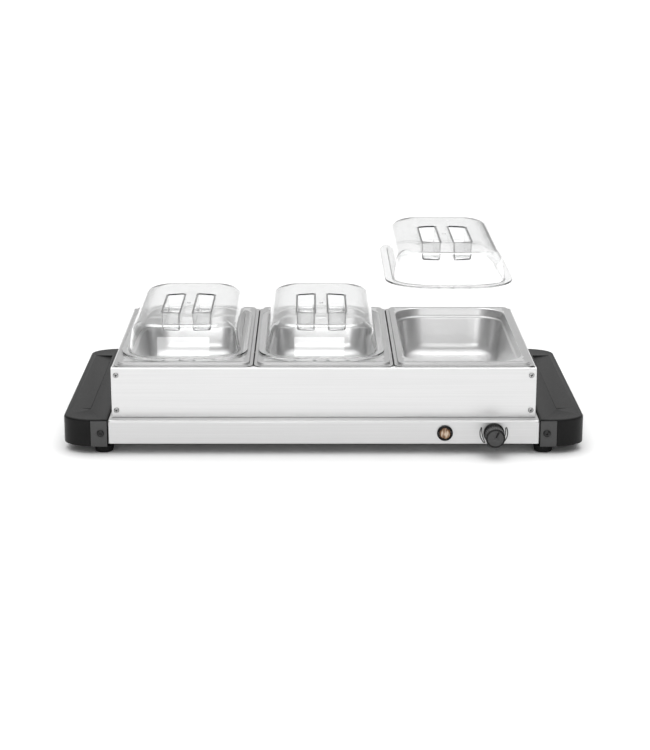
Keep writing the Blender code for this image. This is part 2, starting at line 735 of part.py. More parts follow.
def make_side_panel(name, side, steel, anchor):
    outer = FRAME_HALF_WIDTH
    end = FRAME_HALF_DEPTH - SHEET - GAP

    def along_x(near, far):
        return tuple(sorted((side * near, side * far)))

    panel = box(f"frame_{name}_panel", along_x(outer - SHEET, outer), (-end, end),
                (FRAME_BOTTOM, FRAME_TOP), steel, anchor)
    join(panel, box(f"top_flange_{name}", along_x(outer - 0.0085, outer - SHEET / 2),
                    (-end, end), (FRAME_TOP - SHEET, FRAME_TOP)))
    for label, toward in FRONT_REAR:
        tab = box(f"corner_tab_{name}_{label}", along_x(outer - FRAME_TAB, outer - SHEET / 2),
                  along_y(toward, end - SHEET, end), (FRAME_BOTTOM, FRAME_TOP - 0.0020))
        join(panel, tab)
        for z in FRAME_SCREW_Z:
            x = side * FRAME_SCREW_X
            cut(panel, rod_helper(f"tab_hole_{name}_{label}_{round(z * 1e4)}", 0.0018,
                                  (x, toward * 0.160, z), (x, toward * 0.175, z), 12))


# Pans --------------------------------------------------------------------------------------------

def pan_wall(inset, depth):
    """An outline of the pan's wall, drawn in from its opening by the inset."""
    half_x, half_y, radius = PAN_OPENING
    outline = rounded_rectangle(half_x - inset, half_y - inset, radius - 0.4 * inset)
    return at_height(outline, -depth)


def pan_edge(size, inset, depth):
    half_x, half_y, radius = size
    return at_height(rounded_rectangle(half_x - inset, half_y - inset, radius - inset), -depth)


def make_pan(name, x, steel, frame_anchor):
    """A drawn pan: floor, drafted walls with a stacking shoulder, raised flange and outer lip."""
    anchor = body_anchor(f"{name}_pan_lift", (x, 0.0, PAN_TOP), frame_anchor)
    sheet = PAN_SHEET
    wall = [(0.0, 0.0018), (0.0005, 0.0105), (0.0030, 0.0130), (0.0080, 0.0500),
            (0.0110, 0.0590), (0.0170, 0.0640), (0.0260, 0.0650)]
    rings = [pan_wall(inset, depth) for inset, depth in reversed(wall)]
    rings += [
        pan_wall(-0.0014, 0.0),
        pan_edge(PAN_FLANGE, 0.0006, 0.0),
        pan_edge(PAN_FLANGE, 0.0, 0.0007),
        pan_edge(PAN_FLANGE, 0.0, PAN_LIP_DROP),
        pan_edge(PAN_LIP, 0.0, PAN_LIP_DROP),
        pan_edge(PAN_LIP, 0.0, PAN_LIP_DROP + sheet),
        pan_edge(PAN_FLANGE, sheet, PAN_LIP_DROP + sheet),
        pan_edge(PAN_FLANGE, sheet, sheet),
    ]
    rings += [pan_wall(inset - sheet, depth + sheet * 0.7) for inset, depth in wall]
    return anchor, loft(f"{name}_pan", rings, steel, anchor)


# Lids --------------------------------------------------------------------------------------------

def lid_ring(side_inset, end_inset, radius, z):
    """An outline of the lid, drawn in from its rim by one inset on the sides and one on the ends."""
    half_x, half_y, _ = LID_RIM
    return at_height(rounded_rectangle(half_x - side_inset, half_y - end_inset, radius), z)


def pocket_rings(side, inset, levels):
    """The grip pocket's outline at several levels, narrowing by its draft as it goes down."""
    rings = []
    for level, draft in levels:
        low, high = POCKET_X[0] + inset + draft, POCKET_X[1] - inset - draft
        xs = [low + (high - low) * step / 3 for step in range(4)]
        ends = [POCKET_HALF_LENGTH - inset - draft - POCKET_END_RADIUS
                + math.sqrt(POCKET_END_RADIUS ** 2 - x ** 2) for x in xs]
        outline = list(zip(xs, ends)) + [(x, -y) for x, y in reversed(list(zip(xs, ends)))]
        rings.append([(side * x, y, level) for x, y in outline])
    return rings


def make_lid(name, pan_anchor, clear):
    """A domed lid: rim, drafted walls, round shoulders, two grip pockets and four locating tabs."""
    seat = Vector((0.0, 0.0, LID_SEAT - PAN_TOP)) + Vector(LID_OFFSETS[name])
    anchor = body_anchor(f"{name}_lid_lift", seat, pan_anchor)
    top, under, rim_top = LID_HEIGHT, LID_HEIGHT - LID_WALL, 0.0022
    outer = [
        (0.0355, 0.0275, 0.016, top), (0.0250, 0.0220, 0.022, top - 0.0014),
        (0.0185, 0.0178, 0.027, top - 0.0060), (0.0155, 0.0150, 0.030, top - 0.0125),
        (0.0140, 0.0132, 0.033, top - 0.0190), (0.0103, 0.0103, 0.041, rim_top + 0.0030),
        (0.0088, 0.0088, 0.044, rim_top), (0.0, 0.0, LID_RIM[2], rim_top), (0.0, 0.0, LID_RIM[2], 0.0),
    ]
    inner = [
        (0.0120, 0.0120, 0.041, 0.0), (0.0123, 0.0123, 0.039, rim_top + 0.0030),
        (0.0160, 0.0152, 0.031, top - 0.0190), (0.0176, 0.0170, 0.028, top - 0.0130),
        (0.0204, 0.0196, 0.025, under - 0.0052), (0.0262, 0.0234, 0.020, under - 0.0012),
        (0.0357, 0.0277, 0.015, under),
    ]
    lid = loft(f"{name}_lid", [lid_ring(*row) for row in outer + inner], clear, anchor)
    floor = LID_HEIGHT - POCKET_DEPTH
    for label, side in LEFT_RIGHT:
        shell = pocket_rings(side, -LID_WALL, ((floor - LID_WALL, POCKET_DRAFT), (LID_HEIGHT - 0.0008, 0.0)))
        join(lid, loft(f"pocket_shell_{name}_{label}", shell))
    for label, side in LEFT_RIGHT:
        hollow = pocket_rings(side, 0.0, ((floor, POCKET_DRAFT), (LID_HEIGHT + 0.004, -0.00015)))
        cut(lid, loft(f"pocket_{name}_{label}", hollow))
        for end, toward in FRONT_REAR:
            join(lid, box(f"tab_{name}_{label}_{end}",
                          tuple(sorted((side * TAB_X[0], side * TAB_X[1]))),
                          along_y(toward, *TAB_Y), (-TAB_DROP, SHEET)))
    return lid


# Assembly ----------------------------------------------------------------------------------------

def clear_scene():
    for obj in list(bpy.data.objects):
        bpy.data.objects.remove(obj)


def build():
    clear_scene()
    material = make_materials()
    make_hot_plate(material["brushed_steel"])
    make_bottom_plate(material["zinc_steel"])
    make_ends(material)
    make_knob(material)
    make_thermostat(material)
    make_lamp(material)
    make_gland(material)
    make_heater(material)
    make_electrics(material)
    frame_anchor = make_frame(material)
    for index, name in enumerate(PAN_NAMES):
        x = (index - 1) * PAN_PITCH
        pan_anchor, _ = make_pan(name, x, material["satin_steel"], frame_anchor)
        make_lid(name, pan_anchor, material["clear_plastic"])


build()
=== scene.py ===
import json
import math

import bmesh
import bpy
from mathutils import Matrix, Vector


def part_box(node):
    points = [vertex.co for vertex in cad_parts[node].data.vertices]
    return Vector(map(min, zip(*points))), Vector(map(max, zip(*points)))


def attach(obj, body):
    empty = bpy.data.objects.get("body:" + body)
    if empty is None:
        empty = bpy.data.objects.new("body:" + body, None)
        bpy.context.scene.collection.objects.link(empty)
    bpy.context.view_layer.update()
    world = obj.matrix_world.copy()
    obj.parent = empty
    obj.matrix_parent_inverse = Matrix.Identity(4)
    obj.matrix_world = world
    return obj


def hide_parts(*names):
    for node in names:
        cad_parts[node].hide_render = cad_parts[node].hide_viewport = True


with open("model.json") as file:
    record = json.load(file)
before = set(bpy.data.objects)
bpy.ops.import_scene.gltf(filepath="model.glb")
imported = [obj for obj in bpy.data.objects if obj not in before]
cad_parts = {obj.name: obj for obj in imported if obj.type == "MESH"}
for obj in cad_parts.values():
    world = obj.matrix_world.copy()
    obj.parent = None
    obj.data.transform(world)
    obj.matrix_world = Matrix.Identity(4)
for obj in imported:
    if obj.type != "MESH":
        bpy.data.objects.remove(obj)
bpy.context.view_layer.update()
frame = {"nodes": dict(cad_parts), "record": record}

# Dimensions shared by several pieces, in metres.
SHEET = 0.0010
BASE_SIZE = (0.2705, 0.1845)
BASE_TOP = 0.0430
BASE_BOTTOM = 0.0133
FRAME_SIZE = (0.2665, 0.1680)
FRAME_TOP = 0.1070
FRAME_BOTTOM = 0.0433
PAN_NAMES = ("left", "centre", "right")
SIDES = (("left", -1), ("right", 1))
ENDS = (("front", -1), ("rear", 1))
LID_HEIGHT = 0.0410
LID_WALL = 0.0020
LID_SHAPE = {  # half width, half length, corner radius
    "rim": (0.0810, 0.1520, 0.0540),
    "foot": (0.0712, 0.1422, 0.0400),
    "shoulder": (0.0655, 0.1345, 0.0330),
    "crown": (0.0440, 0.1240, 0.0180),
}
POCKET_DEPTH = 0.0220
POCKET = (0.0095, 0.0310, 0.0590)  # near x, far x, half length
POCKET_END_BEND = 0.0750  # radius of the curve at both ends
LID_TAB = ((0.0240, 0.0430), (0.1442, 0.1457), (-0.0030, -0.0002))
HANDLE = (0.2708, 0.3280, 0.1845, 0.0093, 0.0445)  # inner x, outer x, half depth, bottom, top
HANDLE_CORNER = (0.040, 0.028)  # how far the rounded corner reaches along X and Y
RECESS_X = (0.2975, 0.3205)
RECESS_Y = (-0.1380, 0.1430)
RECESS_DEPTH = 0.0026
RECESS_RUN_OUT = (0.016, 0.012)  # length of the front ramp at the inner and the outer edge
GROOVE_X = (0.2967, 0.2981)
GROOVE_Y = (-0.1340, 0.1410)
GROOVE_DEPTH = 0.0045
STRAP = (0.0015, 0.1500)  # thickness, y of the leg's inner end
BRACKET_SCREW = (0.0047, 0.0020)  # radius, height
PANEL_SCREW = (0.0035, 0.0015)
SCREW_LIFT = 0.0003  # how far a screw's head stands off its sheet
LAMP_HOLE = 0.0068
SPINDLE_HOLE = 0.0050
GLAND_HOLE = 0.0083
KNOB_POINTER_DEG = 25.0
KNOB_RIBS = 24
POINTER_MIDDLE = 0.0050
POINTER_REACH = 0.0030
POINTER_ENDS = (0.0013, 0.0008)
POINTER_DEPTH = 0.0012
DIAL_RADIUS = 0.0180
DIAL_SWELL = 0.0028
DIAL_LINE = 0.00135
DIAL_THICKNESS = 0.00012
PAN_CUTS = ([(0.0190, 0.0170), 0.0022, 0.0018, 0.0020, 0.0014, 0.0009, 0.0005],
            [0.0009, 0.0012, 0.0016, 0.0014, 0.0016, (0.0178, 0.0198)])
PAN_INSIDE = (  # half width, half length, corner radius, height above the flange
    (0.0200, 0.0900, 0.0200, -0.0648),
    (0.0655, 0.1393, 0.0320, -0.0650),
    (0.0716, 0.1454, 0.0346, -0.0124),
    (0.0733, 0.1471, 0.0356, -0.0108),
    (0.0758, 0.1500, 0.0374, 0.0),
    (0.0832, 0.1587, 0.0088, 0.0),
    (0.0834, 0.1589, 0.0090, -0.0034),
    (0.0876, 0.1635, 0.0100, -0.0034),
    (0.0876, 0.1635, 0.0100, -0.0040),
)
PAN_OUTSIDE = (
    (0.0874, 0.1633, 0.0100, -0.0042),
    (0.0826, 0.1581, 0.0082, -0.0042),
    (0.0824, 0.1579, 0.0080, -0.0008),
    (0.0764, 0.1506, 0.0380, -0.0008),
    (0.0744, 0.1482, 0.0364, -0.0112),
    (0.0724, 0.1462, 0.0354, -0.0130),
    (0.0663, 0.1401, 0.0328, -0.0658),
    (0.0200, 0.0900, 0.0200, -0.0656),
)
# The rim's faces take a darker copy of the satin steel: painted shade.
PAN_RIM = (0.0762, 0.1504, -0.0045)  # the rim lies outside these x and y and above this height
CUT_MARGIN = 0.002

# Shading and mesh limits.
SHARP_DEG = 42.0
BEND_SHARP_DEG = 50.0
SOFT_SHARP_DEG = 60.0
SAME_PLACE = 1e-7
ALONG_X = (4.0, 520.0, 520.0)
ALONG_Y = (520.0, 4.0, 520.0)

# The setting.
FLOOR_HALF = 40.0
AIM = (0.0, 0.0, 0.13)
CAMERA_PLACE = (-0.0134, -2.494, 0.7125)
CAMERA_PITCH_DEG = 14.8
CAMERA_LENS = 92.3
CAMERA_SHIFT = 0.016
BOXES = (  # name, place, size, power
    ("front_box", (-0.2375, -3.2, 0.70), (1.275, 0.50), 9.0),
    ("small_reflector", (0.78, -3.2, 1.00), (0.11, 0.11), 1.20),
)
SUN_STRENGTH = 0.72
SUN_SPREAD_DEG = 40.0
SUN_TILT_DEG = -18.0
DEPTH_LIGHT = (-0.3, 0.6, 0.50, 0.74)  # from and to along the direction, light there and there
CEILING_LIGHT = (0.50, 0.90, 0.0, 1.10)
SIDES_LIGHT = (0.35, 0.85, 1.0, 0.45)


# Node helpers ------------------------------------------------------------------------------------

def new_material(name, **values):
    """A material with a Principled BSDF and the given values on its own sockets."""
    material = bpy.data.materials.new(name)
    material.use_nodes = True
    shader = material.node_tree.nodes["Principled BSDF"]
    for key, value in values.items():
        socket = shader.inputs[key.replace("_", " ")]
        socket.default_value = (*value, 1.0) if isinstance(value, tuple) else value
    return material


def node(material, kind, **settings):
    made = material.node_tree.nodes.new(kind)
    for key, value in settings.items():
        setattr(made, key, value)
    return made


def link(material, source, target):
    material.node_tree.links.new(source, target)


def principled(material):
    return material.node_tree.nodes["Principled BSDF"]


def noise(material, scale, detail=2.0, roughness=0.5, offset=(0.0, 0.0, 0.0)):
    """Noise over object coordinates, stretched by a scale for each axis."""
    coordinates = node(material, "ShaderNodeTexCoord")
    mapping = node(material, "ShaderNodeMapping")
    mapping.inputs["Scale"].default_value = scale
    mapping.inputs["Location"].default_value = offset
    texture = node(material, "ShaderNodeTexNoise")
    texture.inputs["Scale"].default_value = 1.0
    texture.inputs["Detail"].default_value = detail
    texture.inputs["Roughness"].default_value = roughness
    link(material, coordinates.outputs["Object"], mapping.inputs["Vector"])
    link(material, mapping.outputs["Vector"], texture.inputs["Vector"])
    return texture.outputs["Fac"]


def cells(material, scale):
    """Small rounded cells, as moulded grain has."""
    coordinates = node(material, "ShaderNodeTexCoord")
    texture = node(material, "ShaderNodeTexVoronoi", feature="SMOOTH_F1")
    texture.inputs["Scale"].default_value = scale
    link(material, coordinates.outputs["Object"], texture.inputs["Vector"])
    return texture.outputs["Distance"]


def swing(material, pattern, socket, low, high, start=0.3, stop=0.7):
    """Drives one value of the shader between two limits by a pattern."""
    reach = node(material, "ShaderNodeMapRange")
    reach.inputs["From Min"].default_value = start
    reach.inputs["From Max"].default_value = stop
    reach.inputs["To Min"].default_value = low
    reach.inputs["To Max"].default_value = high
    link(material, pattern, reach.inputs["Value"])
    link(material, reach.outputs["Result"], principled(material).inputs[socket])


def tint(material, pattern, *stops):
    """Colours the surface along a pattern: (position, colour) pairs."""
    ramp = node(material, "ShaderNodeValToRGB")
    elements = ramp.color_ramp.elements
    while len(elements) < len(stops):
        elements.new(0.5)
    for element, (position, colour) in zip(elements, stops):
        element.position = position
        element.color = (*colour, 1.0)
    link(material, pattern, ramp.inputs["Fac"])
    link(material, ramp.outputs["Color"], principled(material).inputs["Base Color"])


def bumps(material, pattern, distance, strength=1.0):
    bump = node(material, "ShaderNodeBump")
    bump.inputs["Distance"].default_value = distance
    bump.inputs["Strength"].default_value = strength
    link(material, pattern, bump.inputs["Height"])
    link(material, bump.outputs["Normal"], principled(material).inputs["Normal"])


def grey(value):
    return (value, value, value)


# Materials ---------------------------------------------------------------------------------------

def brushed(name, grain_scale, low, high, rough):
    """Brushed stainless sheet: long fine scratches along the axis with the small scale."""
    material = new_material(name, Metallic=1.0, Anisotropic=0.35)
    scratches = noise(material, grain_scale, detail=3.0, roughness=0.65)
    tint(material, scratches, (0.25, grey(low)), (0.75, grey(high)))
    swing(material, scratches, "Roughness", rough[0], rough[1])
    bumps(material, scratches, 0.00004, 0.35)
    return material


def satin_steel(name, low, high):
    material = new_material(name, Metallic=1.0)
    cloud = noise(material, (40.0, 40.0, 40.0), detail=3.0)
    fine = noise(material, (1400.0, 1400.0, 1400.0), detail=2.0)
    tint(material, cloud, (0.3, grey(low)), (0.7, grey(high)))
    swing(material, cloud, "Roughness", 0.305, 0.34)
    bumps(material, fine, 0.000004, 0.4)
    return material


def plated_steel(name, shade, rough):
    material = new_material(name, Metallic=1.0)
    cloud = noise(material, (180.0, 180.0, 180.0), detail=4.0)
    tint(material, cloud, (0.3, grey(shade * 0.88)), (0.7, grey(shade)))
    swing(material, cloud, "Roughness", rough, rough + 0.12)
    return material


def grained_plastic(name, dark, light, rough, grain_scale, depth, specular=0.06):
    """Moulded black plastic with a fine leather-like grain."""
    material = new_material(name, Specular_IOR_Level=specular)
    grain = cells(material, grain_scale)
    cloud = noise(material, (35.0, 35.0, 35.0), detail=5.0, roughness=0.6)
    tint(material, cloud, (0.3, dark), (0.7, light))
    swing(material, grain, "Roughness", rough[0], rough[1], 0.1, 0.7)
    bumps(material, grain, depth, 0.6)
    return material


def clear_plastic():
    """Clear polycarbonate that lets lamps through without caustics."""
    material = new_material(
        "clear_plastic", Base_Color=(0.965, 0.968, 0.968), Transmission_Weight=1.0, IOR=1.46
    )
    haze = noise(material, (45.0, 45.0, 45.0), detail=3.0)
    swing(material, haze, "Roughness", 0.0, 0.03)
    path = node(material, "ShaderNodeLightPath")
    open_way = node(material, "ShaderNodeBsdfTransparent")
    mix = node(material, "ShaderNodeMixShader")
    output = material.node_tree.nodes["Material Output"]
    link(material, path.outputs["Is Shadow Ray"], mix.inputs[0])
    link(material, principled(material).outputs["BSDF"], mix.inputs[1])
    link(material, open_way.outputs["BSDF"], mix.inputs[2])
    link(material, mix.outputs["Shader"], output.inputs["Surface"])
    return material


def amber_lens():
    """A small amber lens with upright prisms. Its colour paints highlights, pale in the middle and
    along the prisms, and shade darkening towards the rim.
    """
    material = new_material("amber_lens", Transmission_Weight=0.25, IOR=1.5, Coat_Weight=0.6)
    prisms = noise(material, (620.0, 110.0, 110.0), detail=1.0)
    painted_highlight = node(material, "ShaderNodeTexGradient", gradient_type="SPHERICAL")
    mapping = node(material, "ShaderNodeMapping")
    mapping.inputs["Scale"].default_value = (125.0, 125.0, 60.0)
    coordinates = node(material, "ShaderNodeTexCoord")
    link(material, coordinates.outputs["Object"], mapping.inputs["Vector"])
    link(material, mapping.outputs["Vector"], painted_highlight.inputs["Vector"])
    depth = node(material, "ShaderNodeMath", operation="MULTIPLY_ADD")
    depth.inputs[1].default_value = 0.75
    link(material, painted_highlight.outputs["Fac"], depth.inputs[0])
    link(material, prisms, depth.inputs[2])
    # Painted highlight in the middle and along the prisms, painted shade towards the rim.
    tint(material, depth.outputs["Value"], (0.50, (0.05, 0.022, 0.010)),
         (0.80, (0.30, 0.15, 0.06)), (1.0, (0.80, 0.62, 0.46)))
    swing(material, prisms, "Roughness", 0.08, 0.25)
    bumps(material, prisms, 0.0003, 0.5)
    return material


def simple_mottle(name, dark, light, rough, scale, **values):
    material = new_material(name, **values)
    cloud = noise(material, (scale, scale, scale), detail=4.0)
    tint(material, cloud, (0.3, dark), (0.7, light))
    swing(material, cloud, "Roughness", rough, rough + 0.12)
    bumps(material, cloud, 0.00003, 0.5)
    return material


def floor_white():
    material = new_material("floor_white", Specular_IOR_Level=0.0, Roughness=0.9)
    cloud = noise(material, (1.5, 1.5, 1.5), detail=2.0)
    tint(material, cloud, (0.3, grey(0.90)), (0.7, grey(0.92)))
    return material


def make_looks():
    return {
        "brushed_steel": brushed("brushed_steel", ALONG_X, 0.69, 0.75, (0.31, 0.38)),
        "brushed_side": brushed("brushed_side", ALONG_Y, 0.72, 0.78, (0.31, 0.38)),
        # A darker copy of the brushed steel for the hot plate cover: painted shade.
        "brushed_base_painted_shade": brushed("brushed_base_painted_shade", ALONG_X, 0.59, 0.65, (0.31, 0.38)),
        # A darker copy for the cover's upward faces: painted shade on the top.
        "brushed_ledge_painted_shade": brushed("brushed_ledge_painted_shade", ALONG_X, 0.58, 0.64, (0.31, 0.40)),
        "satin_steel": satin_steel("satin_steel", 0.70, 0.73),
        # A darker copy of the satin steel for the pan rims: painted shade.
        "satin_rim_painted_shade": satin_steel("satin_rim_painted_shade", 0.48, 0.51),
        "zinc_steel": plated_steel("zinc_steel", 0.46, 0.24),
        "dark_steel": plated_steel("dark_steel", 0.045, 0.26),
        "aluminium": plated_steel("aluminium", 0.80, 0.32),
        "black_plastic": grained_plastic(
            "black_plastic", grey(0.003), grey(0.005), (0.38, 0.50), 1100.0, 0.00010, 0.19
        ),
        "smooth_plastic": grained_plastic(
            "smooth_plastic", grey(0.060), grey(0.075), (0.30, 0.40), 2600.0, 0.00004, 0.22
        ),
        "gloss_plastic": grained_plastic(
            "gloss_plastic", grey(0.008), grey(0.012), (0.22, 0.30), 2600.0, 0.00002, 0.25
        ),
        "grey_metal": simple_mottle("grey_metal", grey(0.045), grey(0.060), 0.38, 1400.0),
        "clear_plastic": clear_plastic(),
        "amber_lens": amber_lens(),
        "rubber": simple_mottle("rubber", grey(0.006), grey(0.010), 0.60, 500.0,
                                Specular_IOR_Level=0.2),
        "cream_phenolic": simple_mottle("cream_phenolic", (0.70, 0.67, 0.60),
                                        (0.80, 0.77, 0.70), 0.45, 300.0),
        "wire": simple_mottle("wire", (0.42, 0.06, 0.04), (0.52, 0.09, 0.06), 0.35, 300.0),
        # Ink for the printed dial marks, and also the dark of the bracket screws' cross recesses,
        # which is painted shade.
        "print_ink_and_recess_shade": simple_mottle("print_ink_and_recess_shade", grey(0.020), grey(0.035), 0.45, 800.0),
        # Flat black without gloss for the handle groove: painted shadow.
        "groove_painted_shadow": simple_mottle("groove_painted_shadow", grey(0.004), grey(0.008), 0.80, 500.0,
                                    Specular_IOR_Level=0.0),
        "floor_white": floor_white(),
    }


# Mesh helpers ------------------------------------------------------------------------------------

def rounded(half_x, half_y, radius, bow=0.0, steps=9, side=6):
    """Outline points, counter-clockwise. A bow pushes the middle of the two short sides out."""
    centres = ((1, 1), (-1, 1), (-1, -1), (1, -1))
    straight_y = half_y - bow
    corners = []
    for corner, (sx, sy) in enumerate(centres):
        cx, cy = sx * (half_x - radius), sy * (straight_y - radius)
        angles = [math.radians(90 * (corner + step / steps)) for step in range(steps + 1)]
        corners.append(
            [(cx + radius * math.cos(a), cy + radius * math.sin(a)) for a in angles]
        )
    points = []
    for this, following in zip(corners, corners[1:] + corners[:1]):
        points += this
        start, end = Vector(this[-1]), Vector(following[0])
        points += [tuple(start.lerp(end, k / side)) for k in range(1, side)]
    if bow:
        points = [
            (x, y + math.copysign(bow * (1 - (x / half_x) ** 2) * min(1.0, abs(y) / straight_y), y))
            for x, y in points
        ]
    return points


def span(vector):
    """The length over all of a vector's values: Vector.length leaves out a fourth one."""
    return math.sqrt(sum(value * value for value in vector))


def step_towards(here, target, distance):
    """A point on the way to the target, at most nine tenths of the way there."""
    return here.lerp(target, min(distance / max(span(target - here), 1e-9), 0.9))


def turn_at(start, corner, end, steps):
    """Points of the curve from start to end that leaves and arrives in line with the corner."""
    points = []
    for step in range(steps + 1):
        t = step / steps
        points.append((1 - t) ** 2 * start + 2 * t * (1 - t) * corner + t * t * end)
    return points


def soften(points, cuts, steps=5):
    """Rounds a polyline's interior corners. A cut is a length, or one for each side."""
    line = [points[0]]
    for before, here, after, cut in zip(points, points[1:], points[2:], cuts):
        if not cut:
            line.append(here)
            continue
        back, ahead = cut if isinstance(cut, tuple) else (cut, cut)
        line += turn_at(
            step_towards(here, before, back), here, step_towards(here, after, ahead), steps
        )
    line.append(points[-1])
    return line


def spread(line, spacing):
    """Adds points along the long stretches, so that they stay flat when shaded smooth."""
    filled = [line[0]]
    for before, here in zip(line, line[1:]):
        if span(here - before) > 1.5 * spacing:
            filled.append(before.lerp(here, 0.02))
            count = math.ceil(span(here - before) / spacing)
            filled += [before.lerp(here, step / count) for step in range(1, count)]
            filled.append(before.lerp(here, 0.98))
        filled.append(here)
    return filled


def strip(bm, loops, closed=True):
    """Quads between loops of equally many points. Returns the rows of vertices."""
    rows = [[bm.verts.new(point) for point in loop] for loop in loops]
    for lower, upper in zip(rows, rows[1:]):
        count = len(lower)
        for i in range(count if closed else count - 1):
            j = (i + 1) % count
            face = bm.faces.new((lower[i], lower[j], upper[j], upper[i]))
            face.smooth = True
    return rows


def flat_cap(bm, row):
    face = bm.faces.new(row)
    face.smooth = False
    return face


def finish_mesh(name, bm, look, sharp=SHARP_DEG):
    bmesh.ops.recalc_face_normals(bm, faces=bm.faces)
    mesh = bpy.data.meshes.new(name)
    bm.to_mesh(mesh)
    bm.free()
    mesh.set_sharp_from_angle(angle=math.radians(sharp))
    mesh.materials.append(look)
    obj = bpy.data.objects.new(name, mesh)
    bpy.context.scene.collection.objects.link(obj)
    return obj


def capped(name, loops, look, sharp=SHARP_DEG):
    """A closed body: a skin through the loops and a flat cap on the first and the last."""
    bm = bmesh.new()
    made = strip(bm, loops)
    flat_cap(bm, made[0])
    flat_cap(bm, made[-1])
    return finish_mesh(name, bm, look, sharp)


def lofted(name, rows, look, sharp=SHARP_DEG):
    """A closed body through rows of (half x, half y, corner radius, z)."""
    loops = [[(x, y, z) for x, y in rounded(hx, hy, r)] for hx, hy, r, z in rows]
    return capped(name, loops, look, sharp)


def turned(name, profile, count, look, shape=None, closed=False, sharp=SHARP_DEG):
    """A body turned about Z from (radius, z). A shape scales the radius by angle on marked rows."""
    loops = []
    for row in profile:
        radius, z = row[0], row[1]
        amount = row[2] if len(row) > 2 else 0.0
        loop = []
        for i in range(count):
            angle = math.tau * i / count
            scale = 1.0 + amount * (shape(angle) if shape else 0.0)
            loop.append((radius * scale * math.cos(angle), radius * scale * math.sin(angle), z))
        loops.append(loop)
    if not closed:
        return capped(name, loops, look, sharp)
    bm = bmesh.new()
    made = strip(bm, [*loops, loops[0]])
    bmesh.ops.remove_doubles(bm, verts=made[0] + made[-1], dist=SAME_PLACE)
    return finish_mesh(name, bm, look, sharp)


def prism(name, section, start, end, axis, look):
    """A bar with one cross-section, from start to end along X or Y."""
    if axis == "X":
        loops = [[(level, a, b) for a, b in section] for level in (start, end)]
    else:
        loops = [[(a, level, b) for a, b in section] for level in (start, end)]
    return capped(name, loops, look)


def subtract(obj, *cutters):
    """Cuts the cutters out of the object for good, then removes them."""
    for cutter in cutters:
        modifier = obj.modifiers.new("cut", "BOOLEAN")
        modifier.operation = "DIFFERENCE"
        modifier.material_mode = "TRANSFER"
        modifier.object = cutter
    bpy.context.view_layer.update()
    evaluated = obj.evaluated_get(bpy.context.evaluated_depsgraph_get())
    mesh = bpy.data.meshes.new_from_object(evaluated)
    obj.modifiers.clear()
    obj.data = mesh
    for cutter in cutters:
        bpy.data.objects.remove(cutter)
    return obj


def even_out(obj):
    """Lets the large faces decide the shading, so that flat sheet looks flat up to its bends."""
    weighted = obj.modifiers.new("even", "WEIGHTED_NORMAL")
    weighted.keep_sharp = True
    weighted.weight = 100
    return obj


def bevel_edges(obj, width, limit_deg):
    bevel = obj.modifiers.new("edge", "BEVEL")
    bevel.width = width
    bevel.segments = 2
    bevel.limit_method = "ANGLE"
    bevel.angle_limit = math.radians(limit_deg)


def dress_faces(obj, look, chosen):
    """Gives the chosen faces of a mesh a second look."""
    obj.data.materials.append(look)
    for face in obj.data.polygons:
        if chosen(face):
            face.material_index = len(obj.data.materials) - 1


def stand_for(piece, body, slot, *nodes):
    """The piece rides on the body and stands for the nodes, which are hidden; the slot is not used.
    """
    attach(piece, body)
    if nodes:
        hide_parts(*nodes)
    return piece


def facing(obj, toward, x, y, z, turn_deg=0.0):
    """Turns a body made along +Z to point to the front (-1) or the rear (+1)."""
    tilt = Matrix.Rotation(math.radians(-90.0 * toward), 4, "X")
    spin = Matrix.Rotation(math.radians(turn_deg), 4, "Z")
    obj.matrix_world = Matrix.Translation((x, y, z)) @ tilt @ spin
    return obj


def centre_of(node_name):
    low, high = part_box(node_name)
    return (Vector(low) + Vector(high)) / 2


# Base --------------------------------------------------------------------------------------------

def make_base_top(look, ledge_shade_look):
    hx, hy = BASE_SIZE

    def row(inset, z):
        return Vector((hx - inset, hy - inset, max(0.0028 - inset, 0.0004), z))

    rows = [row(SHEET, BASE_TOP - SHEET), row(SHEET, BASE_BOTTOM)]
    rows += soften(
        [row(0.0, BASE_BOTTOM), row(0.0, BASE_TOP), row(0.0100, BASE_TOP)], [0.0032], 7
    )
    # The cover takes a darker copy of the brushed steel: painted shade.
    plate = lofted("base_top", rows, look, BEND_SHARP_DEG)
    lamp = centre_of("lamp_bezel")
    knob = centre_of("control_knob")
    gland = centre_of("cable_gland")
    cutters = []
    holes = ((lamp, LAMP_HOLE, -hy), (knob, SPINDLE_HOLE, -hy), (gland, GLAND_HOLE, hy))
    for place, radius, y in holes:
        cutter = turned("hole", [(radius, -0.006), (radius, 0.006)], 32, look)
        cutters.append(facing(cutter, -1, place.x, y, place.z))
    even_out(subtract(plate, *cutters))
    # Faces that face up take a darker copy of the steel: painted shade on the top.
    dress_faces(plate, ledge_shade_look, lambda face: face.normal.z > 0.9)
    return stand_for(plate, "base", "brushed_steel", "hot_plate")


